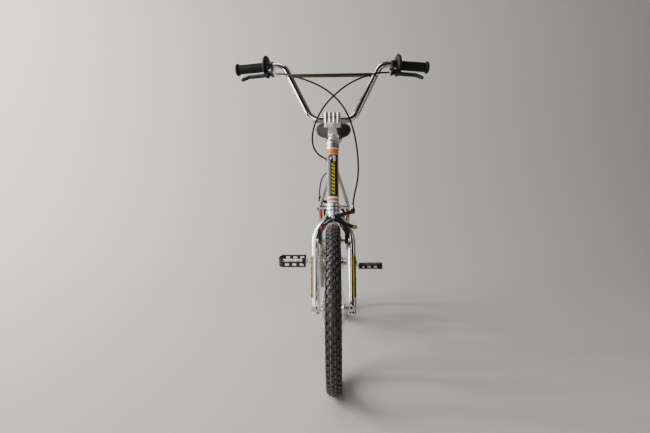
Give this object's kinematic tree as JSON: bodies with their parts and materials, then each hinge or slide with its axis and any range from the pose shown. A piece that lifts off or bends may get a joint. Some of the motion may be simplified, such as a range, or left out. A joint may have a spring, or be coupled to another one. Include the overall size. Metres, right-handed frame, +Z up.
{
  "type": "bmx bike",
  "caption": "Old-school BMX bike with chrome fork and high crossbar handlebar, orange main frame, knobbly tyres, side-pull brakes, rat-trap pedals and moulded saddle",
  "frame": {"origin": "on the ground, midway between the two tyres and in the bike's middle plane", "axes": "+X to the rider's left, +Y to the rear, +Z up; the bike faces -Y"},
  "size_m": [0.6286, 1.4362, 1.0196],
  "materials": {
    "chrome": "polished chrome",
    "orange_paint": "gloss orange paint",
    "black_rubber": "moulded grip rubber",
    "tyre_rubber": "knobbly black tyre",
    "black_metal": "black gloss coat",
    "steel": "zinc plated steel",
    "alloy": "polished alloy",
    "cable_black": "black cable housing",
    "saddle_plastic": "moulded black saddle",
    "chain_steel": "oiled chain"
  },
  "bodies": {
    "frame": {"head_tube": "orange_paint", "top_tube": "orange_paint", "down_tube": "orange_paint", "seat_tube": "orange_paint", "bottom_bracket_shell": "chrome", "chainstay_left": "chrome", "chainstay_right": "chrome", "seatstay_left": "chrome", "seatstay_right": "chrome", "rear_dropouts": "chrome", "frame_bridges": "chrome", "headset_cups": "chrome", "bottom_bracket_bearings": "steel", "seat_clamp": "steel", "cable_clips": "chrome", "chain": "chain_steel", "rear_axle_set": "steel", "rear_brake_bolt": "steel", "rear_brake_cable": "cable_black"},
    "steering": {"fork_steerer": "chrome", "fork_leg_left": "chrome", "fork_leg_right": "chrome", "fork_dropouts": "chrome", "headset_races": "chrome", "stem_body": "alloy", "stem_cap": "alloy", "stem_bolts": "steel", "stem_expander": "steel", "handlebar": "chrome", "grip_left": "black_rubber", "grip_right": "black_rubber", "lever_brackets": "black_metal", "front_axle_set": "steel", "front_brake_bolt": "steel", "front_brake_cable": "cable_black"},
    "front_wheel": {"front_tyre": "tyre_rubber", "front_rim": "chrome", "front_spokes": "steel", "front_hub": "alloy"},
    "rear_wheel": {"rear_tyre": "tyre_rubber", "rear_rim": "chrome", "rear_spokes": "steel", "rear_hub": "alloy"},
    "freewheel": {"freewheel": "steel"},
    "cranks": {"crank_spindle": "steel", "crank_arm_left": "alloy", "crank_arm_right": "alloy", "chainring": "black_metal", "pedal_axles": "steel"},
    "pedal_left": {"pedal_left": "black_metal"},
    "pedal_right": {"pedal_right": "black_metal"},
    "lever_left": {"lever_left": "black_metal"},
    "lever_right": {"lever_right": "black_metal"},
    "front_brake_arm_right": {"front_brake_arm_right": "black_metal"},
    "front_brake_arm_left": {"front_brake_arm_left": "black_metal"},
    "rear_brake_arm_left": {"rear_brake_arm_left": "black_metal"},
    "rear_brake_arm_right": {"rear_brake_arm_right": "black_metal"},
    "seat": {"seatpost": "chrome", "saddle_frame": "steel", "saddle": "saddle_plastic"}
  },
  "joints": [
    {"name": "steering_turn", "type": "hinge", "parent": "frame", "child": "steering", "pos_m": [0, -0.43957, 0.23811], "axis": [0, 0.309, 0.9511], "range_deg": [-60, 60], "deforming": ["rear_brake_cable"]},
    {"name": "front_wheel_spin", "type": "hinge", "parent": "steering", "child": "front_wheel", "pos_m": [0, -0.47, 0.248], "axis": [1, 0, 0], "continuous": true},
    {"name": "rear_wheel_spin", "type": "hinge", "parent": "frame", "child": "rear_wheel", "pos_m": [0, 0.47, 0.248], "axis": [1, 0, 0], "continuous": true},
    {"name": "crank_spin", "type": "hinge", "parent": "frame", "child": "cranks", "pos_m": [0, 0.11, 0.288], "axis": [1, 0, 0], "continuous": true, "deforming": ["chain"]},
    {"name": "freewheel_spin", "type": "hinge", "parent": "frame", "child": "freewheel", "pos_m": [0, 0.47, 0.248], "axis": [1, 0, 0], "continuous": true},
    {"name": "pedal_left_spin", "type": "hinge", "parent": "cranks", "child": "pedal_left", "pos_m": [0.15, 0.27591, 0.25092], "axis": [1, 0, 0], "continuous": true},
    {"name": "pedal_right_spin", "type": "hinge", "parent": "cranks", "child": "pedal_right", "pos_m": [-0.15, -0.05591, 0.32508], "axis": [1, 0, 0], "continuous": true},
    {"name": "lever_right_squeeze", "type": "hinge", "parent": "steering", "child": "lever_right", "pos_m": [-0.19849, -0.26081, 0.96373], "axis": [0.1672, 0.6597, -0.7327], "range_deg": [0, 12], "stiffness_Nm_per_rad": 3, "springref_deg": -5.73},
    {"name": "lever_left_squeeze", "type": "hinge", "parent": "steering", "child": "lever_left", "pos_m": [0.19849, -0.26081, 0.96373], "axis": [0.1672, -0.6597, 0.7327], "range_deg": [0, 12], "stiffness_Nm_per_rad": 3, "springref_deg": -5.73},
    {"name": "front_brake_right_close", "type": "hinge", "parent": "steering", "child": "front_brake_arm_right", "pos_m": [0, -0.37423, 0.50393], "axis": [0, -0.9511, 0.309], "range_deg": [0, 1.2], "deforming": ["front_brake_cable"]},
    {"name": "front_brake_left_close", "type": "hinge", "parent": "steering", "child": "front_brake_arm_left", "pos_m": [0, -0.37423, 0.50393], "axis": [0, 0.9511, -0.309], "range_deg": [0, 1.2]},
    {"name": "rear_brake_left_close", "type": "hinge", "parent": "frame", "child": "rear_brake_arm_left", "pos_m": [0, 0.32957, 0.50212], "axis": [0, 0.8509, 0.5253], "range_deg": [0, 1.2]},
    {"name": "rear_brake_right_close", "type": "hinge", "parent": "frame", "child": "rear_brake_arm_right", "pos_m": [0, 0.32957, 0.50212], "axis": [0, -0.8509, -0.5253], "range_deg": [0, 1.2]},
    {"name": "seat_height", "type": "slide", "parent": "frame", "child": "seat", "axis": [0, 0.3173, 0.9483], "range_m": [-0.03, 0.05]}
  ],
  "couplings": [
    {"joint": "freewheel_spin", "follows": "crank_spin", "ratio": 2.75},
    {"joint": "front_brake_right_close", "follows": "lever_right_squeeze", "ratio": 0.1},
    {"joint": "front_brake_left_close", "follows": "lever_right_squeeze", "ratio": 0.1},
    {"joint": "rear_brake_left_close", "follows": "lever_left_squeeze", "ratio": 0.1},
    {"joint": "rear_brake_right_close", "follows": "lever_left_squeeze", "ratio": 0.1}
  ]
}
